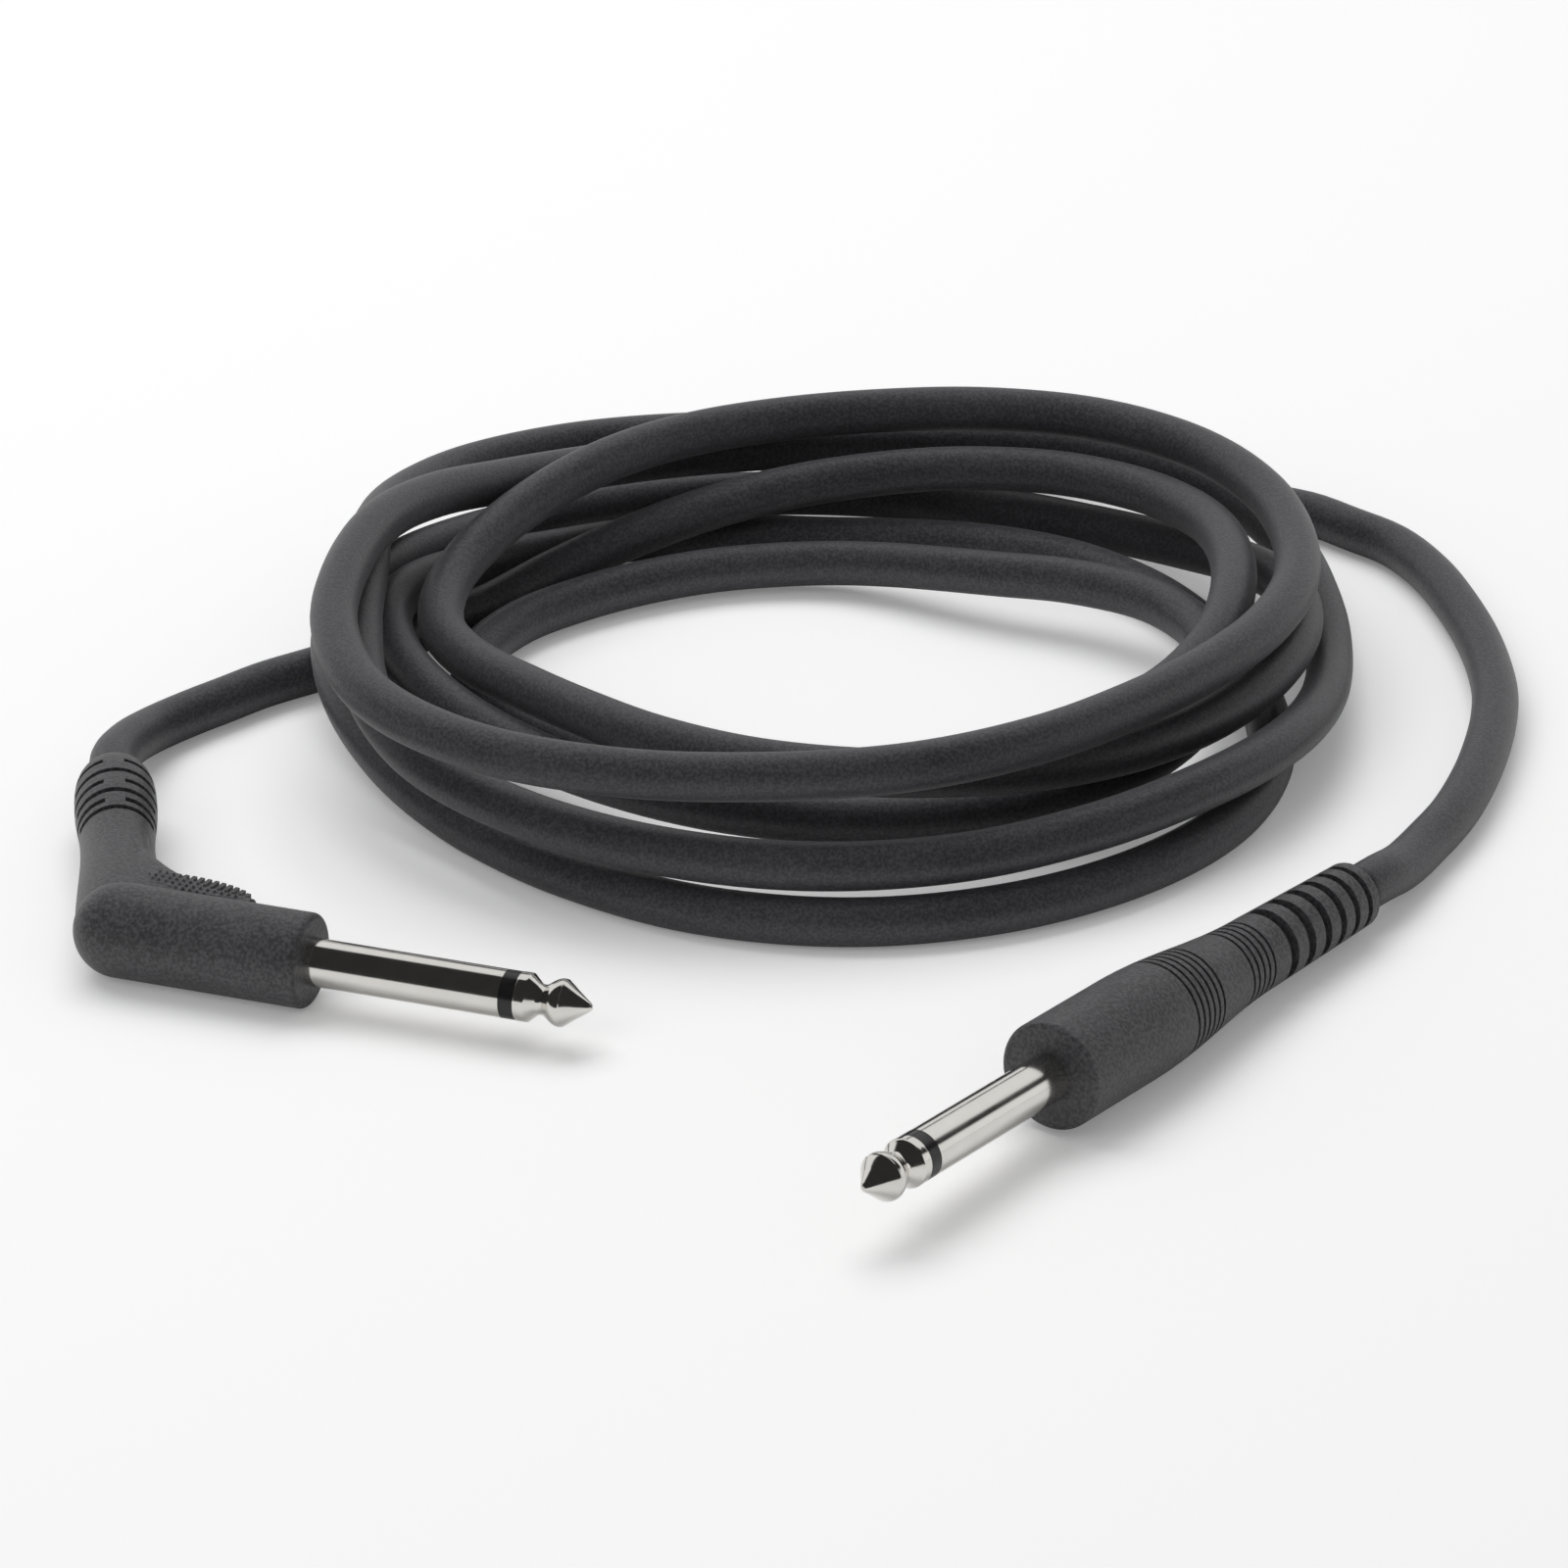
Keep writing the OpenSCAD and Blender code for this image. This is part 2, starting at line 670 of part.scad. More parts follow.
// The coil runs straight for one cable diameter at each end
coil_route = coil_points(rings_per_turn);
start_way = level(coil_route[0] - coil_route[1]);
end_way = level(coil_route[len(coil_route) - 1] - coil_route[len(coil_route) - 2]);
start_joint = coil_route[0] + cable_d * start_way;
end_joint = coil_route[len(coil_route) - 1] + cable_d * end_way;

// Places that each lead passes between the coil and its plug
floor_z = cable_d / 2;
angled_route = [[-47, 112, floor_z], [-53, 107, floor_z], [-59, 102.5, floor_z],
    [-65, 98, floor_z], [-70, 93, floor_z], [-75, 88, floor_z], [-79, 83, floor_z + 0.2],
    [-82, 74.5, floor_z + 1.8]];
straight_route = [[94.5, 154, floor_z], [100, 148, floor_z], [104.5, 138, floor_z],
    [107.5, 125.5, floor_z], [109.5, 111.5, floor_z], [110, 96.5, floor_z],
    [109, 87, floor_z], [107, 77, floor_z], [104, 66, floor_z], [100, 55, floor_z],
    [95, 45, floor_z], [91.5, 38, floor_z + 0.6]];

// Lead from the coil's end, straight for one cable diameter at the coil and at the plug
function lead_line(joint, way, route, exit, out) = concat(
    [joint, joint + cable_d * way], route, [exit + cable_d * out, exit]);

// Round cable swept along a line, with the given number of sides
module sweep_cable(line, sides) {
    last = len(line) - 1;
    points = [for (i = [0 : last])
        let (t = unit(line[min(i + 1, last)] - line[max(i - 1, 0)]),
            s = unit(cross([0, 0, 1], t)), u = cross(t, s))
        for (k = [0 : sides - 1]) let (a = 90 + 360 * k / sides)
            line[i] + cable_d / 2 * (s * cos(a) + u * sin(a))];
    walls = [for (i = [0 : last - 1]) for (k = [0 : sides - 1])
        let (a = i * sides + k, b = i * sides + (k + 1) % sides, c = b + sides, d = a + sides)
        each [[a, c, b], [a, d, c]]];
    caps = [for (k = [1 : sides - 2])
        each [[0, k, k + 1], [last * sides, last * sides + k + 1, last * sides + k]]];
    color("dimgray") polyhedron(points = points, faces = concat(walls, caps));
}

module cable_coil() {
    sweep_cable(concat([start_joint], coil_route, [end_joint]), coil_sides);
}

module angled_lead() {
    sweep_cable(lead_line(start_joint, start_way, angled_route, angled_exit, neck_axis),
        lead_sides);
}

module straight_lead() {
    sweep_cable(lead_line(end_joint, end_way, straight_route, straight_exit, -straight_axis),
        lead_sides);
}

// Least gap between two stretches of the coil that are a quarter turn or more apart
checks_per_turn = 72;
check_points = coil_points(checks_per_turn);
least_gap = min([for (i = [0 : len(check_points) - 1])
    for (j = [i + checks_per_turn / 4 : 1 : len(check_points) - 1])
        norm(check_points[i] - check_points[j])]) - cable_d;
echo(least_gap = least_gap);

lay_straight() jack_tip();  // straight_tip
lay_straight() insulator_ring();  // straight_insulator_ring
lay_straight() insulating_tube();  // straight_insulating_tube
lay_straight() sleeve();  // straight_sleeve
lay_straight() ground_lug();  // straight_ground_lug
lay_straight() rear_washer();  // straight_rear_washer
lay_straight() tip_lug();  // straight_tip_lug
lay_straight() core_wire(false);  // straight_core_wire
lay_straight() core_insulation(false);  // straight_core_insulation
lay_straight() screen_tail(false);  // straight_screen_tail
lay_straight() jacket_end(false);  // straight_jacket_end
lay_straight() inner_mould(false);  // straight_inner_mould
lay_straight() straight_body();
lay_angled() jack_tip();  // angled_tip
lay_angled() insulator_ring();  // angled_insulator_ring
lay_angled() insulating_tube();  // angled_insulating_tube
lay_angled() sleeve();  // angled_sleeve
lay_angled() ground_lug();  // angled_ground_lug
lay_angled() rear_washer();  // angled_rear_washer
lay_angled() tip_lug();  // angled_tip_lug
lay_angled() core_wire(true);  // angled_core_wire
lay_angled() core_insulation(true);  // angled_core_insulation
lay_angled() screen_tail(true);  // angled_screen_tail
lay_angled() jacket_end(true);  // angled_jacket_end
lay_angled() inner_mould(true);  // angled_inner_mould
lay_angled() angled_body();
straight_lead();
cable_coil();
angled_lead();
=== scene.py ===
# %% [markdown]
# # A coiled instrument cable with two moulded jack plugs
# The solids of both plugs come from the construction model, in metres, standing on the
# floor at z = 0. This lesson gives them their finishes, lays one smooth cable from plug
# to plug in place of the plain tubes, and adds the fine details of the mouldings.

# %% Load the construction model
import math

import bpy
import numpy as np
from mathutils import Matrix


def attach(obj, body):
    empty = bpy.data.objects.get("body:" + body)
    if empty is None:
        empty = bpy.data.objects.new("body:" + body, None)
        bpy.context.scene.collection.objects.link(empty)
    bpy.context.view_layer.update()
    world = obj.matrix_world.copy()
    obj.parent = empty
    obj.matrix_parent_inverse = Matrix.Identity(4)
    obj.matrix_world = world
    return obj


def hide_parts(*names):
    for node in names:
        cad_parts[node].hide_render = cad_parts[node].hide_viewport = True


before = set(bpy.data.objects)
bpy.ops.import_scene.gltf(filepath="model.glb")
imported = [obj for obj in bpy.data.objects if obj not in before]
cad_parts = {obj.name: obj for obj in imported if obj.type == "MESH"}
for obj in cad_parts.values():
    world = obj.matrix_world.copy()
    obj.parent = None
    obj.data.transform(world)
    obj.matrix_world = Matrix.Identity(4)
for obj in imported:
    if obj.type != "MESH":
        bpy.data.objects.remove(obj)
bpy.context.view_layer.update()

# %% [markdown]
# ## Camera
# The view looks along +Y and 25.5 degrees down on the middle of the object. A long lens
# keeps the near plug and the far side of the coil at almost the same size. The picture is
# square, so the lens and the 36 mm sensor give the angle of view both ways.

# %% Camera
MM = 0.001
AIM = np.array([9.0, 72.0, 0.0]) * MM
CAMERA_AT = np.array([9.0, -726.8, 381.0]) * MM

lens = bpy.data.cameras.new("camera")
lens.lens = 146.25
lens.sensor_width = 36.0
lens.clip_start, lens.clip_end = 0.05, 50.0
camera = bpy.data.objects.new("camera", lens)
bpy.context.scene.collection.objects.link(camera)
sight = AIM - CAMERA_AT
pitch = math.atan2(-sight[2], sight[1])
camera.location = CAMERA_AT
camera.rotation_euler = (math.pi / 2 - pitch, 0.0, 0.0)
bpy.context.scene.camera = camera
print("camera pitch:", round(math.degrees(pitch), 2), "degrees")

# %% [markdown]
# ## The cable's route
# A cable of this kind is one length from plug to plug, hand-wound in uneven turns. The
# route could be drawn by hand point by point, but a table is easier to read: how far out
# from the middle the cable lies, and how high, at eight compass places of each turn. A
# smooth curve through the table gives the winding, and the two leads run from its ends
# to the plugs.

# %% The winding, as reach and height at eight places a turn
CABLE_D = 6.6
PLACES = 8
COIL_CENTRE = (15.0, 104.0)
COIL_REACH = [
    60, 48, 48, 60.5, 58, 55, 39, 43,
    50.5, 39.7, 34.5, 33.6, 53, 59.5, 54, 57,
    62.3, 57.6, 46.5, 53, 59.2, 75.2, 81.2, 71.6,
    70, 66, 61, 63, 67.5, 64, 60, 51.8,
    55, 50, 57, 69, 67, 65, 74, 81,
    64.5, 57, 61.5, 77, 71.9, 75, 78.3, 76,
    65.6, 77, 76.5, 88,
]
COIL_HEIGHT = [
    0, 6.5, 12, 14, 17.4, 13.2, 3.3, 3.3,
    3.3, 3.8, 4.5, 7.6, 9.4, 7.4, 5.2, 8.6,
    11.1, 3.6, 3.3, 3.3, 3.3, 3.3, 3.3, 3.3,
    9.5, 5.7, 4.5, 5, 12.7, 13, 15.4, 14.6,
    12.8, 19, 19, 19.6, 20.1, 20.9, 21.4, 22,
    24.5, 16.5, 12, 10.2, 6.7, 10.9, 10, 12.8,
    17.4, 11.4, 8, 3.3,
]
COIL_FIRST = 0.5
COIL_LAST = len(COIL_REACH) - 1


def smooth_values(values, places):
    """Catmull-Rom curve through a list of values, at places that need not be whole:
    b + t (c - a + t (2a - 5b + 4c - d + t (3b - 3c + d - a))) / 2."""
    values = np.asarray(values, float)
    whole = np.floor(places).astype(int)
    t = places - whole
    a, b, c, d = (values[np.clip(whole + k, 0, len(values) - 1)] for k in (-1, 0, 1, 2))
    return b + t * (c - a + t * (2 * a - 5 * b + 4 * c - d + t * (3 * b - 3 * c + d - a))) / 2


def coil_points(places):
    """Points of the winding: the angle runs clockwise from 180 degrees, one turn in
    eight places, with the reach and the height from the tables."""
    angle = np.pi - 2 * np.pi * places / PLACES
    reach = smooth_values(COIL_REACH, places)
    height = np.maximum(CABLE_D / 2, smooth_values(COIL_HEIGHT, places))
    return np.stack([COIL_CENTRE[0] + reach * np.cos(angle),
                     COIL_CENTRE[1] + reach * np.sin(angle), height], axis=1)


COIL_STEPS = 153
coil = coil_points(np.linspace(COIL_FIRST, COIL_LAST, COIL_STEPS + 1))
print("coil:", len(coil), "points,", (COIL_LAST - COIL_FIRST) / PLACES, "turns")

# %% [markdown]
# ## The two leads
# From each plug the cable runs over the table to the winding. Each lead is a short list
# of places that it passes, and a curve through all places of leads and winding makes one
# line without a corner, so the cable is one unbroken tube as the real one is.

# %% The two leads, from the winding's ends to the plugs
ANGLED_EXIT = np.array([-82.5518, 59.8028, 6.3])
ANGLED_WAY = np.array([-0.113203, 0.993572, 0.0])
STRAIGHT_EXIT = np.array([84.1856, 27.1599, 5.24444])
STRAIGHT_WAY = np.array([0.601389, 0.798071, -0.0376])
ANGLED_ROUTE = [
    [-47, 112, 3.3], [-53, 107, 3.3], [-59, 102.5, 3.3], [-65, 98, 3.3],
    [-70, 93, 3.3], [-75, 88, 3.3], [-79, 83, 3.5], [-82, 74.5, 5.1],
]
STRAIGHT_ROUTE = [
    [94.5, 154, 3.3], [100, 148, 3.3], [104.5, 138, 3.3], [107.5, 125.5, 3.3],
    [109.5, 111.5, 3.3], [110, 96.5, 3.3], [109, 87, 3.3], [107, 77, 3.3],
    [104, 66, 3.3], [100, 55, 3.3], [95, 45, 3.3], [91.5, 38, 3.9],
]


def level_way(from_point, to_point):
    """Unit direction from one point to another, laid flat."""
    way = (to_point - from_point) * [1, 1, 0]
    return way / np.linalg.norm(way)


start_way = level_way(coil[1], coil[0])
end_way = level_way(coil[-2], coil[-1])
start_joint = coil[0] + CABLE_D * start_way
end_joint = coil[-1] + CABLE_D * end_way
angled_lead = [ANGLED_EXIT, ANGLED_EXIT + CABLE_D * ANGLED_WAY, *ANGLED_ROUTE[::-1],
               start_joint + CABLE_D * start_way]
straight_lead = [end_joint + CABLE_D * end_way, *STRAIGHT_ROUTE,
                 STRAIGHT_EXIT + CABLE_D * STRAIGHT_WAY, STRAIGHT_EXIT]
route = np.array([*angled_lead, start_joint, *coil, end_joint, *straight_lead])


def through(points, step):
    """Smooth curve through points, evenly spaced: centripetal Catmull-Rom, in which the
    parameter between two points grows with the square root of their distance."""
    points = np.asarray(points, float)
    ends = [2 * points[0] - points[1], 2 * points[-1] - points[-2]]
    p = np.vstack([ends[0], points, ends[1]])
    gap = np.sqrt(np.linalg.norm(np.diff(p, axis=0), axis=1))
    t = np.linspace(0, 1, 13)[:-1][None, :, None]
    p0, p1, p2, p3 = (p[k:len(p) - 3 + k][:, None, :] for k in range(4))
    d0, d1, d2 = (gap[k:len(gap) - 2 + k][:, None, None] for k in range(3))
    m1 = (p2 - p1) + d1 * ((p1 - p0) / d0 - (p2 - p0) / (d0 + d1))
    m2 = (p2 - p1) + d1 * ((p3 - p2) / d2 - (p3 - p1) / (d1 + d2))
    curve = ((2 * t**3 - 3 * t**2 + 1) * p1 + (t**3 - 2 * t**2 + t) * m1
             + (3 * t**2 - 2 * t**3) * p2 + (t**3 - t**2) * m2).reshape(-1, 3)
    curve = np.vstack([curve, points[-1]])
    along = np.concatenate([[0], np.cumsum(np.linalg.norm(np.diff(curve, axis=0), axis=1))])
    even = np.linspace(0, along[-1], int(round(along[-1] / step)) + 1)
    return np.stack([np.interp(even, along, curve[:, k]) for k in range(3)], axis=1), even


CABLE_STEP = 2.2
line, line_length = through(route, CABLE_STEP)
line[:, 2] = np.maximum(line[:, 2], CABLE_D / 2)
cable_length = line_length[-1] * MM
print("cable:", round(cable_length, 3), "m,", len(line), "stations")

# %% [markdown]
# ## Surfaces from arrays
# Every new piece is a grid of points worked out as whole arrays. One helper numbers the
# faces of a grid, another puts points and faces into a mesh. Pieces share them, so each
# piece's own cell only holds its shape.

# %% Mesh helpers
def grid_faces(rows, columns, round_columns=True):
    """Four-sided faces of a grid whose points are numbered row by row. With round
    columns the last column joins the first."""
    across = columns if round_columns else columns - 1
    row, column = np.meshgrid(np.arange(rows - 1), np.arange(across), indexing="ij")
    a = row * columns + column
    b = row * columns + (column + 1) % columns
    return np.stack([a, b, b + columns, a + columns], axis=-1).reshape(-1, 4)


def add_piece(name, points, faces, smooth=True):
    """A mesh object at the origin, from points in millimetres and a list of faces."""
    mesh = bpy.data.meshes.new(name)
    mesh.from_pydata(np.asarray(points) * MM, [], [tuple(map(int, f)) for f in faces])
    mesh.shade_smooth() if smooth else mesh.shade_flat()
    mesh.update()
    piece = bpy.data.objects.new(name, mesh)
    bpy.context.scene.collection.objects.link(piece)
    return piece


# %% [markdown]
# ## The cable
# The jacket is a round tube of soft plastic. A curve object with a bevel could draw it,
# but rings of points round the line also give a map in metres along and round the
# jacket.

# %% The cable as one tube
CABLE_SIDES = 28


def sweep(line, radius, sides):
    """Rings round a line: each point is line + r (side cos a + up sin a), where side is
    level and square to the line, and up is square to both."""
    ahead = np.gradient(line, axis=0)
    ahead /= np.linalg.norm(ahead, axis=1, keepdims=True)
    side = np.cross([0, 0, 1.0], ahead)
    side /= np.linalg.norm(side, axis=1, keepdims=True)
    up = np.cross(ahead, side)
    a = 2 * np.pi * np.arange(sides) / sides
    ring = side[:, None] * np.cos(a)[None, :, None] + up[:, None] * np.sin(a)[None, :, None]
    return line[:, None] + radius * ring, ahead, side, up


rings, ahead, side, up = sweep(line, CABLE_D / 2, CABLE_SIDES)
stations = len(line)
tube_points = np.vstack([rings.reshape(-1, 3), line[:1], line[-1:]])
first_pole, last_pole = stations * CABLE_SIDES, stations * CABLE_SIDES + 1
around = np.arange(CABLE_SIDES)
next_one = (around + 1) % CABLE_SIDES
last_ring = (stations - 1) * CABLE_SIDES
caps = [*np.stack([next_one, around, np.full(CABLE_SIDES, first_pole)], axis=1),
        *np.stack([last_ring + around, last_ring + next_one,
                   np.full(CABLE_SIDES, last_pole)], axis=1)]
walls = grid_faces(stations, CABLE_SIDES)
cable = add_piece("cable", tube_points, [*walls, *caps])

jacket_map = cable.data.uv_layers.new(name="jacket")
corner_station = walls // CABLE_SIDES
corner_side = walls % CABLE_SIDES
wraps = (corner_side.max(axis=1) == CABLE_SIDES - 1) & (corner_side.min(axis=1) == 0)
corner_side = np.where(wraps[:, None] & (corner_side == 0), CABLE_SIDES, corner_side)
corner_map = np.zeros((len(cable.data.loops), 2))
corner_map[:walls.size, 0] = (line_length[corner_station] * MM).ravel()
corner_map[:walls.size, 1] = (corner_side / CABLE_SIDES * np.pi * CABLE_D * MM).ravel()
jacket_map.data.foreach_set("uv", corner_map.ravel())

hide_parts("angled_lead", "cable_coil", "straight_lead")
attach(cable, "root")
print("cable piece:", len(cable.data.polygons), "faces")

# %% [markdown]
# ## Floor and light
# A white table in a soft studio keeps the contact shadows faint. The floor and the
# surround both ask nodes what kind of ray looks at them, so the helpers for nodes come
# first.

# %% Helpers for materials and light
def node_material(name):
    """An empty node material and its Principled shader."""
    material = bpy.data.materials.new(name)
    material.use_nodes = True
    return material, material.node_tree.nodes["Principled BSDF"]


def math_node(tree, operation, first, second, third=0.0):
    """A Math node; each input is a socket or a number."""
    node = tree.nodes.new("ShaderNodeMath")
    node.operation = operation
    for socket, value in zip(node.inputs, (first, second, third)):
        if isinstance(value, bpy.types.NodeSocket):
            tree.links.new(value, socket)
        else:
            socket.default_value = value
    return node.outputs[0]


# %% [markdown]
# ## Floor
# A plane much larger than the view stands for the table. Its paint is nearly white, and
# a little glow that only the camera sees takes the last grey off it, while the shadow
# that the cable casts stays.

# %% Floor
FLOOR_HALF = 6.0
FLOOR_DROP = 0.00002
floor_mesh = bpy.data.meshes.new("floor")
floor_mesh.from_pydata([(-FLOOR_HALF, -FLOOR_HALF, 0), (FLOOR_HALF, -FLOOR_HALF, 0),
                        (FLOOR_HALF, FLOOR_HALF, 0), (-FLOOR_HALF, FLOOR_HALF, 0)],
                       [], [(0, 1, 2, 3)])
floor = bpy.data.objects.new("floor", floor_mesh)
bpy.context.scene.collection.objects.link(floor)
floor.location.z = -FLOOR_DROP

floor_paint, floor_shader = node_material("floor_paint")
floor_shader.inputs["Base Color"].default_value = (0.95, 0.95, 0.95, 1)
floor_shader.inputs["Roughness"].default_value = 0.9
floor_shader.inputs["Specular IOR Level"].default_value = 0.1
floor_shader.inputs["Emission Color"].default_value = (1, 1, 1, 1)
FLOOR_GLOW = 0.17
floor_tree = floor_paint.node_tree
seen_ray = floor_tree.nodes.new("ShaderNodeLightPath")
glow = math_node(floor_tree, "MULTIPLY", seen_ray.outputs["Is Camera Ray"], FLOOR_GLOW)
floor_tree.links.new(glow, floor_shader.inputs["Emission Strength"])
floor_mesh.materials.append(floor_paint)

# %% [markdown]
# ## Lamps and surround
# One broad lamp hangs overhead and behind, a smaller one stands at the front left, and a
# pale surround fills the shadows. What shiny metal mirrors is another matter: a white
# wall behind and to the right, and a dark room in front, give the plated contacts their
# bright and dark streaks. Only glossy rays see that room, so it takes no light away.

# %% Lamps and surround
LAMPS = [
    # name, place, aim, width, height, power
    ("top_lamp", (-0.25, 0.55, 1.25), (0.0, 0.08, 0.0), 1.5, 0.9, 11.0),
    ("front_lamp", (-0.75, -0.75, 0.85), (0.0, 0.05, 0.0), 0.8, 0.6, 2.2),
]
for name, place, aim, width, height, power in LAMPS:
    light = bpy.data.lights.new(name, "AREA")
    light.shape = "RECTANGLE"
    light.size, light.size_y, light.energy = width, height, power
    lamp = bpy.data.objects.new(name, light)
    lamp.location = place
    way = np.array(aim) - np.array(place)
    turn = math.atan2(way[1], way[0]) - math.pi / 2
    tilt = math.atan2(math.hypot(way[0], way[1]), -way[2])
    lamp.rotation_euler = (tilt, 0, turn)
    lamp.visible_glossy = False
    bpy.context.scene.collection.objects.link(lamp)

SURROUND = 0.42
world = bpy.data.worlds.new("surround")
bpy.context.scene.world = world
world.use_nodes = True
tree = world.node_tree
tree.nodes.clear()


def soft_step(value, low, high):
    """0 below low, 1 above high, smooth between."""
    node = tree.nodes.new("ShaderNodeMapRange")
    node.interpolation_type = "SMOOTHSTEP"
    tree.links.new(value, node.inputs["Value"])
    node.inputs["From Min"].default_value = low
    node.inputs["From Max"].default_value = high
    return node.outputs["Result"]


rays = tree.nodes.new("ShaderNodeLightPath")
direction = tree.nodes.new("ShaderNodeTexCoord")
parts = tree.nodes.new("ShaderNodeSeparateXYZ")
tree.links.new(direction.outputs["Generated"], parts.inputs[0])
to_right, to_back, upward = parts.outputs
front = math_node(tree, "SUBTRACT", 1.0, soft_step(to_back, 0.39, 0.44))
left = math_node(tree, "SUBTRACT", 1.0, soft_step(to_right, 0.86, 0.92))
strip = math_node(tree, "COMPARE", upward, 0.405, 0.035)
strip = math_node(tree, "MULTIPLY", strip, soft_step(to_back, 0.80, 0.84))
DARKEST = 0.97
dark = math_node(tree, "MAXIMUM", math_node(tree, "MULTIPLY", front, left), strip)
shade = math_node(tree, "MULTIPLY", dark, DARKEST)
mirrored = math_node(tree, "SUBTRACT", 1.0, shade)
soft = tree.nodes.new("ShaderNodeBackground")
soft.inputs["Strength"].default_value = SURROUND
white = tree.nodes.new("ShaderNodeBackground")
white.inputs["Strength"].default_value = 1.0
shine = tree.nodes.new("ShaderNodeBackground")
tree.links.new(mirrored, shine.inputs["Strength"])
seen = math_node(tree, "MAXIMUM", rays.outputs["Is Camera Ray"],
                  rays.outputs["Is Transmission Ray"])
plain = tree.nodes.new("ShaderNodeMixShader")
mix = tree.nodes.new("ShaderNodeMixShader")
out = tree.nodes.new("ShaderNodeOutputWorld")
tree.links.new(seen, plain.inputs["Fac"])
tree.links.new(soft.outputs[0], plain.inputs[1])
tree.links.new(white.outputs[0], plain.inputs[2])
tree.links.new(rays.outputs["Is Glossy Ray"], mix.inputs["Fac"])
tree.links.new(plain.outputs[0], mix.inputs[1])
tree.links.new(shine.outputs[0], mix.inputs[2])
tree.links.new(mix.outputs[0], out.inputs["Surface"])
bpy.context.scene.view_settings.view_transform = "Standard"
print("lamps:", [l[0] for l in LAMPS], "surround:", SURROUND)

# %% [markdown]
# ## Shared effects
# Moulded plastic looks real through three small things: cloudy patches of slightly
# different black, a fine grain from the mould, and roughness that isn't the same all
# over. One node group makes all three, and each material sets its own amounts.

# %% Node groups
def new_group(name, inputs, outputs):
    """A shader node group with named sockets, and its input and output nodes."""
    group = bpy.data.node_groups.new(name, "ShaderNodeTree")
    for label, kind, value in inputs:
        socket = group.interface.new_socket(label, in_out="INPUT", socket_type=kind)
        socket.default_value = value
    for label, kind in outputs:
        group.interface.new_socket(label, in_out="OUTPUT", socket_type=kind)
    return group, group.nodes.new("NodeGroupInput"), group.nodes.new("NodeGroupOutput")


def noise_node(tree, vector, scale, detail=3.0):
    """A Noise texture on a vector, with a number or a socket for its scale."""
    node = tree.nodes.new("ShaderNodeTexNoise")
    node.inputs["Detail"].default_value = detail
    tree.links.new(vector, node.inputs["Vector"])
    if isinstance(scale, bpy.types.NodeSocket):
        tree.links.new(scale, node.inputs["Scale"])
    else:
        node.inputs["Scale"].default_value = scale
    return node.outputs["Fac"]


def mix_colours(tree, factor, first, second):
    """A colour Mix node."""
    node = tree.nodes.new("ShaderNodeMix")
    node.data_type = "RGBA"
    for socket, value in ((node.inputs[0], factor), (node.inputs[6], first),
                          (node.inputs[7], second)):
        if isinstance(value, bpy.types.NodeSocket):
            tree.links.new(value, socket)
        else:
            socket.default_value = value
    return node.outputs[2]


def moulded_skin():
    """Cloudy colour, uneven roughness and fine grain, from a coarse and a fine noise
    on one vector."""
    group, given, result = new_group("moulded_skin", [
        ("Vector", "NodeSocketVector", (0, 0, 0)),
        ("Dark", "NodeSocketColor", (0.02, 0.02, 0.02, 1)),
        ("Light", "NodeSocketColor", (0.06, 0.06, 0.06, 1)),
        ("Grain Size", "NodeSocketFloat", 2500.0),
        ("Cloud Size", "NodeSocketFloat", 60.0),
        ("Smoothness", "NodeSocketFloat", 0.5),
    ], [("Color", "NodeSocketColor"), ("Roughness", "NodeSocketFloat"),
        ("Height", "NodeSocketFloat")])
    cloud = noise_node(group, given.outputs["Vector"], given.outputs["Cloud Size"])
    grain = noise_node(group, given.outputs["Vector"], given.outputs["Grain Size"], 2.0)
    sharper = math_node(group, "MULTIPLY_ADD", grain, 4.5, -1.8)
    sharper.node.use_clamp = True
    half_cloud = math_node(group, "MULTIPLY", cloud, 0.5)
    speckle = math_node(group, "MULTIPLY_ADD", sharper, 0.5, half_cloud)
    colour = mix_colours(group, speckle, given.outputs["Dark"], given.outputs["Light"])
    shift = math_node(group, "SUBTRACT", given.outputs["Smoothness"], 0.11)
    uneven = math_node(group, "MULTIPLY_ADD", cloud, 0.22, shift)
    group.links.new(colour, result.inputs["Color"])
    group.links.new(uneven, result.inputs["Roughness"])
    group.links.new(grain, result.inputs["Height"])
    return group


skin_group = moulded_skin()
print("groups:", [g.name for g in bpy.data.node_groups])

# %% [markdown]
# ## Plastic
# The jacket and both mouldings are black soft plastic with a matt, speckled skin. The
# ring between tip and sleeve is harder and glossier, and the pieces inside are pale.
# One function makes them all from the shared group, each with its own amounts.

# %% Materials of plastic
def put_group(tree, group, values):
    """The group's node in a material, with its own values."""
    node = tree.nodes.new("ShaderNodeGroup")
    node.node_tree = group
    for name, value in values.items():
        node.inputs[name].default_value = value
    return node


def bump_node(tree, height, strength, distance):
    """A Bump node; distance is in metres."""
    node = tree.nodes.new("ShaderNodeBump")
    node.inputs["Strength"].default_value = strength
    node.inputs["Distance"].default_value = distance
    tree.links.new(height, node.inputs["Height"])
    return node


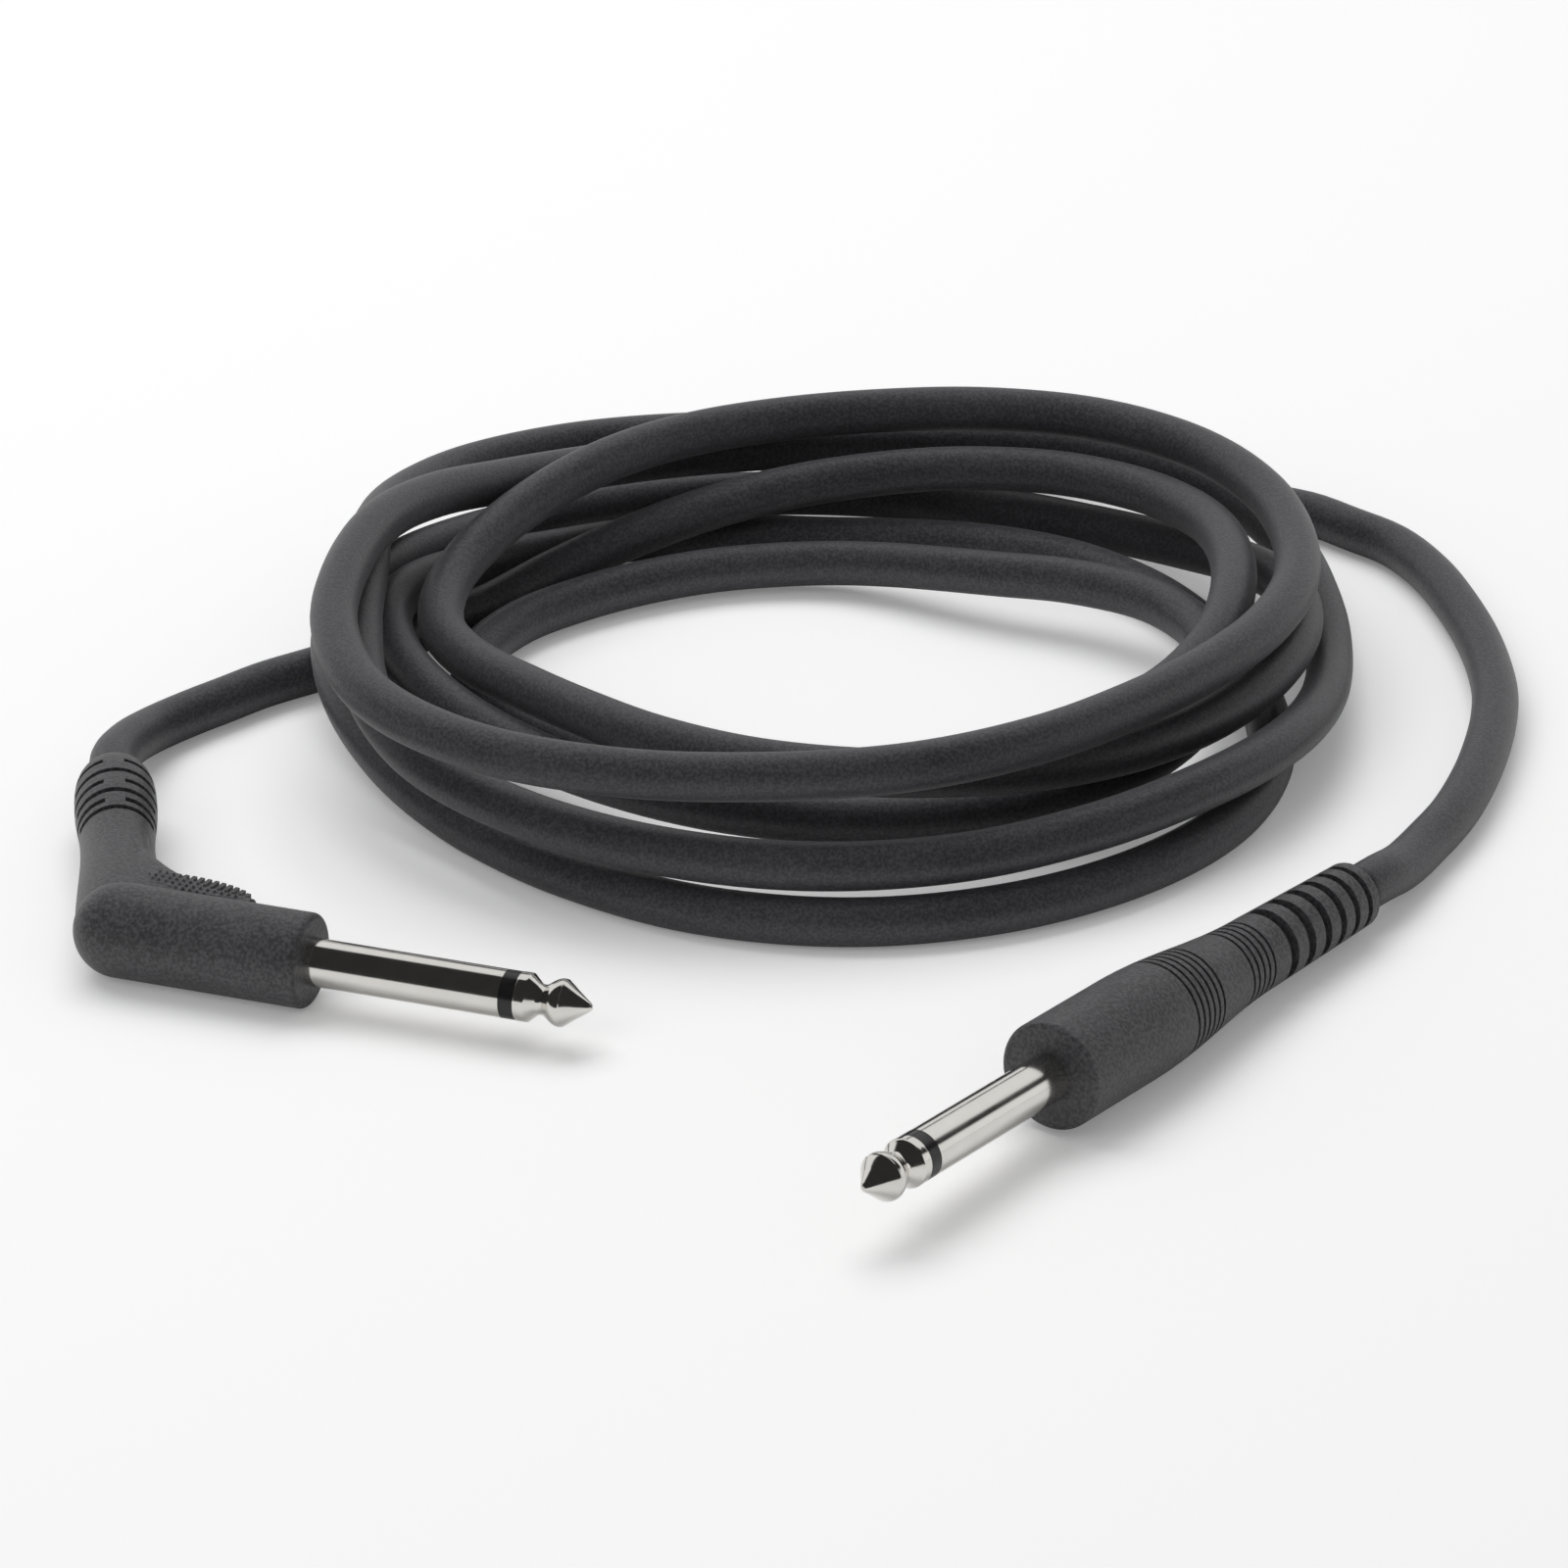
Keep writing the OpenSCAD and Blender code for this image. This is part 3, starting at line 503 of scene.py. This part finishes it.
def skin_material(name, dark, light, smoothness, grain, cloud, strength, depth,
                  specular=0.5, sheen=0.0, map_name=None):
    """A moulded surface: the skin group feeds colour, roughness and bump."""
    material, shader = node_material(name)
    tree = material.node_tree
    if map_name:
        place = tree.nodes.new("ShaderNodeUVMap")
        place.uv_map = map_name
        vector = place.outputs["UV"]
    else:
        place = tree.nodes.new("ShaderNodeTexCoord")
        vector = place.outputs["Object"]
    skin = put_group(tree, skin_group, {
        "Dark": (*dark, 1), "Light": (*light, 1), "Grain Size": grain,
        "Cloud Size": cloud, "Smoothness": smoothness})
    tree.links.new(vector, skin.inputs["Vector"])
    bump = bump_node(tree, skin.outputs["Height"], strength, depth)
    tree.links.new(skin.outputs["Color"], shader.inputs["Base Color"])
    tree.links.new(skin.outputs["Roughness"], shader.inputs["Roughness"])
    tree.links.new(bump.outputs["Normal"], shader.inputs["Normal"])
    shader.inputs["Specular IOR Level"].default_value = specular
    shader.inputs["Sheen Weight"].default_value = sheen
    shader.inputs["Sheen Roughness"].default_value = 0.4
    return material


cable_skin = skin_material("cable_skin", (0.018, 0.018, 0.021), (0.082, 0.080, 0.088),
                           0.48, 2400.0, 45.0, 0.45, 0.00009, 0.55, 0.10)
plug_skin = skin_material("plug_skin", (0.016, 0.016, 0.018), (0.100, 0.098, 0.104),
                          0.50, 2100.0, 60.0, 0.60, 0.00012, 0.55, 0.12)
ring_plastic = skin_material("ring_plastic", (0.006, 0.006, 0.006),
                             (0.014, 0.014, 0.014), 0.22, 1500.0, 90.0, 0.05, 0.00002)
pale_plastic = skin_material("pale_plastic", (0.62, 0.60, 0.52), (0.78, 0.76, 0.68),
                             0.45, 1800.0, 120.0, 0.10, 0.00003)
core_plastic = skin_material("core_plastic", (0.72, 0.72, 0.70), (0.84, 0.84, 0.82),
                             0.40, 1800.0, 120.0, 0.10, 0.00003)
mould_plastic = skin_material("mould_plastic", (0.50, 0.50, 0.46), (0.62, 0.62, 0.58),
                              0.50, 1600.0, 90.0, 0.15, 0.00005)
cable.data.materials.append(cable_skin)

# %% [markdown]
# ## Plated and bare metal
# The jack's tip and sleeve are turned from brass and plated with nickel. Turning leaves
# very fine rings round the axis, which stretch each reflection a little. A Mapping node
# turns the pattern so that its X runs along the plug, and a wave along X makes the rings.

# %% Materials of metal
def metal_material(name, colour, dim, roughness, axis_turn, rings, ring_depth):
    """Metal with turning rings along one direction and faint handling marks."""
    material, shader = node_material(name)
    tree = material.node_tree
    place = tree.nodes.new("ShaderNodeTexCoord")
    along = tree.nodes.new("ShaderNodeMapping")
    along.inputs["Rotation"].default_value = (0, 0, -axis_turn)
    tree.links.new(place.outputs["Object"], along.inputs["Vector"])
    wave = tree.nodes.new("ShaderNodeTexWave")
    wave.wave_type, wave.bands_direction = "BANDS", "X"
    wave.inputs["Scale"].default_value = rings
    wave.inputs["Distortion"].default_value = 0.4
    wave.inputs["Detail"].default_value = 2.0
    tree.links.new(along.outputs["Vector"], wave.inputs["Vector"])
    marks = noise_node(tree, along.outputs["Vector"], 260.0, 4.0)
    tint = mix_colours(tree, marks, (*dim, 1), (*colour, 1))
    uneven = math_node(tree, "MULTIPLY_ADD", marks, 0.12, roughness - 0.06)
    bump = bump_node(tree, wave.outputs["Fac"], 0.12, ring_depth)
    shader.inputs["Metallic"].default_value = 1.0
    tree.links.new(tint, shader.inputs["Base Color"])
    tree.links.new(uneven, shader.inputs["Roughness"])
    tree.links.new(bump.outputs["Normal"], shader.inputs["Normal"])
    return material


ANGLED_TURN = math.radians(-19.5)
STRAIGHT_TURN = math.radians(233.0)
metals = {}
for plug, turn in (("angled", ANGLED_TURN), ("straight", STRAIGHT_TURN)):
    metals[plug] = {
        "nickel": metal_material(f"{plug}_nickel", (0.86, 0.84, 0.80),
                                 (0.74, 0.72, 0.68), 0.13, turn, 900.0, 0.000004),
        "lug_brass": metal_material(f"{plug}_lug_brass", (0.82, 0.62, 0.30),
                                    (0.70, 0.52, 0.25), 0.32, turn, 500.0, 0.000008),
        "copper": metal_material(f"{plug}_copper", (0.80, 0.44, 0.26),
                                 (0.68, 0.36, 0.20), 0.36, turn, 700.0, 0.00002),
    }
print("materials:", len(bpy.data.materials))

# %% [markdown]
# ## Turned tips
# The tip of a jack is one turned piece: a collar, a groove in which the socket's spring
# rests, a shoulder and a point. Each is a profile in length and radius, turned round the
# plug's axis as one grid, smooth enough for sharp reflections.

# %% Tips by turning a profile
TIP_PROFILE = np.array([
    [29.05, 3.00], [29.10, 3.18], [29.25, 3.21], [29.8, 3.21], [30.2, 3.21], [30.42, 3.16],
    [30.75, 2.86], [31.2, 2.42], [31.65, 2.08], [32.1, 1.98], [32.55, 2.08], [33.0, 2.36],
    [33.5, 2.72], [34.0, 3.00], [34.45, 3.13], [34.8, 3.14], [35.1, 3.05], [35.6, 2.72],
    [36.2, 2.26], [36.9, 1.72], [37.6, 1.19], [38.1, 0.82], [38.45, 0.58], [38.72, 0.34],
    [38.83, 0.12]])
TIP_SIDES = 96
PLUGS = {
    "angled": (np.array([-51.9498, 5.58254, 6.3]), np.array([0.942641, -0.333807, 0.0])),
    "straight": (np.array([41.7877, -29.1041, 7.89524]),
                 np.array([-0.601389, -0.798071, 0.0376])),
}


def turned(face, axis, profile, sides):
    """A closed turned solid: each profile point (x, r) becomes a ring about the axis,
    face + x axis + r (u cos a + w sin a), and a point closes each end."""
    axis = axis / np.linalg.norm(axis)
    u = np.cross([0, 0, 1.0], axis)
    u /= np.linalg.norm(u)
    w = np.cross(axis, u)
    a = 2 * np.pi * np.arange(sides) / sides
    spoke = np.cos(a)[:, None] * u + np.sin(a)[:, None] * w
    rings = (face + profile[:, None, :1] * axis + profile[:, None, 1:] * spoke[None])
    rows = len(profile)
    points = np.vstack([rings.reshape(-1, 3), face + profile[0, 0] * axis,
                        face + profile[-1, 0] * axis])
    here = np.arange(sides)
    following = (here + 1) % sides
    low, high = rows * sides, rows * sides + 1
    last = (rows - 1) * sides
    faces = [*grid_faces(rows, sides),
             *np.stack([following, here, np.full(sides, low)], axis=1),
             *np.stack([last + here, last + following, np.full(sides, high)], axis=1)]
    return points, faces


places = np.linspace(0, len(TIP_PROFILE) - 1, 97)
tip_curve = np.stack([smooth_values(TIP_PROFILE[:, k], places) for k in (0, 1)], axis=1)
for plug, (face, axis) in PLUGS.items():
    skin = add_piece(f"{plug}_tip_skin", *turned(face, axis, tip_curve, TIP_SIDES))
    skin.data.materials.append(metals[plug]["nickel"])
    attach(skin, "root")
print("turned tips:", len(PLUGS))

# %% [markdown]
# ## The studded web
# A thick web fills the inside corner of the angled plug, almost flush with the barrel,
# and a lens of fine studs on it gives the thumb its grip. The skin's height is worked
# out over a grid that follows the web's arc: a level top, a rounded edge, and studs made
# by two cosines inside the lens.

# %% The web's skin with its studs, above and below
BARREL_LEN, BARREL_R, NECK_R = 27.0, 6.3, 5.0
ELBOW = PLUGS["angled"][0] - BARREL_LEN * PLUGS["angled"][1]
ALONG = PLUGS["angled"][1]
ACROSS = np.array([-ALONG[1], ALONG[0], 0.0])
NECK_ANGLE = math.radians(116.0)
WEB_R, WEB_SINK = 26.0, 0.8
WEB_Y = WEB_R + BARREL_R - WEB_SINK
WEB_X = (WEB_R + NECK_R - WEB_SINK
         + WEB_Y * math.cos(NECK_ANGLE)) / math.sin(NECK_ANGLE)
WEB_TOP, WEB_UNDER, WEB_ROUND = 5.55, 2.0, 2.2
PAD_AT, PAD_TURN = (8.8, 5.2), math.radians(-6.0)
PAD_HALF = (7.75, 2.3)
STUD_PITCH, STUD_RISE = 1.05, 0.38
NECK_DROP, DROP_FROM, DROP_OVER = 0.7, 6.0, 8.0
SKIN_FROM, SKIN_TO, SKIN_INNER, ARC_INSET = -3.0, 17.0, 1.0, 0.06


def web_height(x, y):
    """Height above the plug's middle plane: a level top that sinks toward the neck,
    less the rounding r - sqrt(r^2 - (r - e)^2) at distance e from the arc, plus studs
    rise cos(2 pi a / pitch) cos(2 pi b / pitch) inside the lens (a / A)^2 + (b / B)^2 < 1."""
    edge = np.hypot(x - WEB_X, y - WEB_Y) - WEB_R
    fall = np.clip(WEB_ROUND - edge, 0, WEB_ROUND)
    level = WEB_TOP - NECK_DROP * np.clip((y - DROP_FROM) / DROP_OVER, 0, 1) ** 2
    height = level - (WEB_ROUND - np.sqrt(WEB_ROUND**2 - fall**2))
    a = (x - PAD_AT[0]) * math.cos(PAD_TURN) + (y - PAD_AT[1]) * math.sin(PAD_TURN)
    b = (y - PAD_AT[1]) * math.cos(PAD_TURN) - (x - PAD_AT[0]) * math.sin(PAD_TURN)
    inside = np.clip(6 * (1 - (a / PAD_HALF[0])**2 - (b / PAD_HALF[1])**2), 0, 1)
    wave_a = np.clip(np.cos(2 * np.pi * a / STUD_PITCH), -0.2, 1)
    wave_b = np.clip(np.cos(2 * np.pi * b / STUD_PITCH), -0.2, 1)
    stud = wave_a * wave_b
    return height + STUD_RISE * inside * (np.clip(stud, 0, 1) + 0.25)


WEB_COLUMNS, WEB_ROWS = 220, 84
column = np.linspace(SKIN_FROM, SKIN_TO, WEB_COLUMNS)
row = np.linspace(0, 1, WEB_ROWS)
arc = WEB_Y - np.sqrt((WEB_R + ARC_INSET)**2 - (column - WEB_X)**2)
web_x = np.repeat(column[None, :], WEB_ROWS, axis=0)
web_y = SKIN_INNER + row[:, None] * (arc[None, :] - SKIN_INNER)
top = web_height(web_x, web_y)
for side_name, sign in (("upper", 1.0), ("lower", -1.0)):
    flat = ELBOW + web_x[..., None] * ALONG + web_y[..., None] * ACROSS
    outer = flat + sign * top[..., None] * [0, 0, 1.0]
    inner = flat + sign * WEB_UNDER * np.array([0, 0, 1.0])
    count = WEB_COLUMNS * WEB_ROWS
    upper_faces = grid_faces(WEB_ROWS, WEB_COLUMNS, round_columns=False)
    rim = np.concatenate([
        np.arange(WEB_COLUMNS), np.arange(1, WEB_ROWS) * WEB_COLUMNS + WEB_COLUMNS - 1,
        (WEB_ROWS - 1) * WEB_COLUMNS + np.arange(WEB_COLUMNS - 2, -1, -1),
        np.arange(WEB_ROWS - 2, 0, -1) * WEB_COLUMNS])
    following = np.roll(rim, -1)
    rim_faces = np.stack([following, rim, rim + count, following + count], axis=1)
    faces = np.vstack([upper_faces, upper_faces[:, ::-1] + count, rim_faces])
    if sign < 0:
        faces = faces[:, ::-1]
    web_skin = add_piece(f"{side_name}_web_skin",
                         np.vstack([outer.reshape(-1, 3), inner.reshape(-1, 3)]), faces)
    web_skin.data.materials.append(plug_skin)
    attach(web_skin, "root")
print("web skins:", 2 * len(faces), "faces")

# %% [markdown]
# ## Finishes
# Every solid gets the material of what it is made of, also those that the moulding
# hides, so that a cut or an exploded view looks right. A table names them once for both
# plugs.

# %% Give each solid its finish
FINISHES = {
    "tip": "nickel", "sleeve": "nickel", "insulator_ring": ring_plastic,
    "insulating_tube": pale_plastic, "ground_lug": "lug_brass",
    "rear_washer": pale_plastic, "tip_lug": "lug_brass", "core_wire": "copper",
    "core_insulation": core_plastic, "screen_tail": "copper",
    "jacket_end": cable_skin, "inner_mould": mould_plastic, "body": plug_skin,
}


def paint(node, material):
    """Puts one material in every slot of a solid."""
    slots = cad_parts[node].data.materials
    if not len(slots):
        slots.append(material)
    for k in range(len(slots)):
        slots[k] = material


for plug in ("angled", "straight"):
    for part, finish in FINISHES.items():
        paint(f"{plug}_{part}", metals[plug][finish] if isinstance(finish, str) else finish)
print("painted:", 2 * len(FINISHES), "solids")
